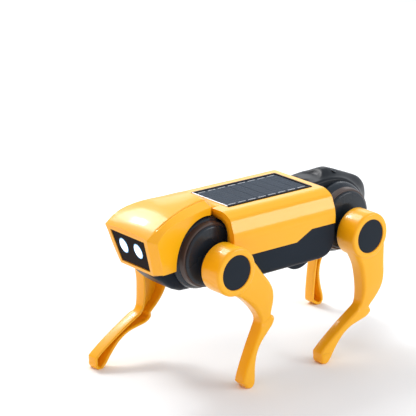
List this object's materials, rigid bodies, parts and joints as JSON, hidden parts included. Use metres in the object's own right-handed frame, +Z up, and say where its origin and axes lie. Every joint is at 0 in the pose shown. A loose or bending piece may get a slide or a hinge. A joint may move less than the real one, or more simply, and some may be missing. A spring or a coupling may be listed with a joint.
{
  "type": "solar robot kit",
  "caption": "Four-legged walking robot with a solar panel on its back, a hooded head with two eyes, and crank-driven legs on round hips.",
  "frame": {"origin": "on the ground under the middle of the robot, half way along its length", "axes": "+X to the robot's left, head faces -Y, +Z up"},
  "size_m": [0.0714, 0.1649, 0.0926],
  "materials": {
    "yellow_plastic": "glossy injection moulding",
    "black_plastic": "glossy injection moulding",
    "brown_black_plastic": "glossy injection moulding",
    "white_plastic": "natural moulding",
    "solar_cell": "coated silicon",
    "silver_busbar": "printed silver",
    "clear_resin": "clear epoxy",
    "white_lens": "opal diffuser",
    "lamp": "lamp body",
    "circuit_board": "solder mask",
    "wire": "insulated wire",
    "brass": "turned",
    "steel": "plain"
  },
  "bodies": {
    "frame": {"belly_shell": "black_plastic", "back_shell": "yellow_plastic", "panel_board": "black_plastic", "solar_cells": "solar_cell", "cell_busbars": "silver_busbar", "panel_resin": "clear_resin", "head_shell": "yellow_plastic", "visor": "brown_black_plastic", "eye_lenses": "white_lens", "eye_board": "circuit_board", "eye_lamps": "lamp", "neck_cover": "black_plastic", "rear_cowl": "black_plastic", "left_front_housing": "brown_black_plastic", "right_front_housing": "brown_black_plastic", "left_rear_housing": "brown_black_plastic", "right_rear_housing": "brown_black_plastic", "left_front_disc": "black_plastic", "right_front_disc": "black_plastic", "left_rear_disc": "black_plastic", "right_rear_disc": "black_plastic", "left_plate": "white_plastic", "right_plate": "white_plastic", "plate_posts": "steel", "gear_pins": "steel", "axle_bushes": "brass", "hip_studs": "steel", "hip_screws": "steel", "shell_screws": "steel", "panel_wires": "wire", "motor_can": "steel", "motor_end_cap": "black_plastic"},
    "front_crank": {"front_axle": "steel", "front_axle_gear": "white_plastic", "left_front_crank": "white_plastic", "right_front_crank": "white_plastic"},
    "rear_crank": {"rear_axle": "steel", "rear_axle_gear": "white_plastic", "left_rear_crank": "white_plastic", "right_rear_crank": "white_plastic"},
    "front_idler_wheel": {"front_idler": "white_plastic"},
    "middle_idler_wheel": {"middle_idler": "white_plastic"},
    "drive_wheel": {"drive_gear": "white_plastic"},
    "rear_idler_wheel": {"rear_idler": "white_plastic"},
    "reduction_wheel": {"reduction_gear": "white_plastic"},
    "motor_rotor": {"motor_shaft": "steel", "motor_pinion": "brass"},
    "left_front_leg_body": {"left_front_leg": "yellow_plastic", "left_front_lever": "black_plastic", "left_front_cap": "black_plastic"},
    "right_front_leg_body": {"right_front_leg": "yellow_plastic", "right_front_lever": "black_plastic", "right_front_cap": "black_plastic"},
    "left_rear_leg_body": {"left_rear_leg": "yellow_plastic", "left_rear_lever": "black_plastic", "left_rear_cap": "black_plastic"},
    "right_rear_leg_body": {"right_rear_leg": "yellow_plastic", "right_rear_lever": "black_plastic", "right_rear_cap": "black_plastic"}
  },
  "joints": [
    {"name": "left_front_swing", "type": "hinge", "parent": "frame", "child": "left_front_leg_body", "pos_m": [0, -0.0432, 0.0628], "axis": [1, 0, 0], "range_deg": [-40, 0]},
    {"name": "right_front_swing", "type": "hinge", "parent": "frame", "child": "right_front_leg_body", "pos_m": [0, -0.0432, 0.0628], "axis": [1, 0, 0], "range_deg": [0, 40]},
    {"name": "left_rear_swing", "type": "hinge", "parent": "frame", "child": "left_rear_leg_body", "pos_m": [0, 0.0468, 0.0628], "axis": [1, 0, 0], "range_deg": [0, 40]},
    {"name": "right_rear_swing", "type": "hinge", "parent": "frame", "child": "right_rear_leg_body", "pos_m": [0, 0.0468, 0.0628], "axis": [1, 0, 0], "range_deg": [-40, 0]},
    {"name": "front_crank_spin", "type": "hinge", "parent": "frame", "child": "front_crank", "pos_m": [0, -0.0432, 0.0718], "axis": [1, 0, 0], "continuous": true},
    {"name": "rear_crank_spin", "type": "hinge", "parent": "frame", "child": "rear_crank", "pos_m": [0, 0.0468, 0.0718], "axis": [1, 0, 0], "continuous": true},
    {"name": "front_idler_spin", "type": "hinge", "parent": "frame", "child": "front_idler_wheel", "pos_m": [0, -0.0252, 0.0718], "axis": [1, 0, 0], "continuous": true},
    {"name": "middle_idler_spin", "type": "hinge", "parent": "frame", "child": "middle_idler_wheel", "pos_m": [0, -0.0072, 0.0718], "axis": [1, 0, 0], "continuous": true},
    {"name": "drive_gear_spin", "type": "hinge", "parent": "frame", "child": "drive_wheel", "pos_m": [0, 0.0108, 0.0718], "axis": [1, 0, 0], "continuous": true},
    {"name": "rear_idler_spin", "type": "hinge", "parent": "frame", "child": "rear_idler_wheel", "pos_m": [0, 0.0288, 0.0718], "axis": [1, 0, 0], "continuous": true},
    {"name": "reduction_gear_spin", "type": "hinge", "parent": "frame", "child": "reduction_wheel", "pos_m": [0, 0.01838, 0.0625], "axis": [1, 0, 0], "continuous": true},
    {"name": "motor_spin", "type": "hinge", "parent": "frame", "child": "motor_rotor", "pos_m": [0, 0.01039, 0.0596], "axis": [1, 0, 0], "continuous": true}
  ],
  "couplings": [
    {"joint": "right_front_swing", "follows": "left_front_swing", "ratio": -1},
    {"joint": "left_rear_swing", "follows": "left_front_swing", "ratio": -1},
    {"joint": "right_rear_swing", "follows": "left_front_swing", "ratio": 1},
    {"joint": "rear_crank_spin", "follows": "front_crank_spin", "ratio": -1},
    {"joint": "front_idler_spin", "follows": "front_crank_spin", "ratio": -1},
    {"joint": "middle_idler_spin", "follows": "front_crank_spin", "ratio": 1},
    {"joint": "drive_gear_spin", "follows": "front_crank_spin", "ratio": -1},
    {"joint": "rear_idler_spin", "follows": "front_crank_spin", "ratio": 1},
    {"joint": "reduction_gear_spin", "follows": "front_crank_spin", "ratio": 3.8},
    {"joint": "motor_spin", "follows": "front_crank_spin", "ratio": -9.12}
  ]
}
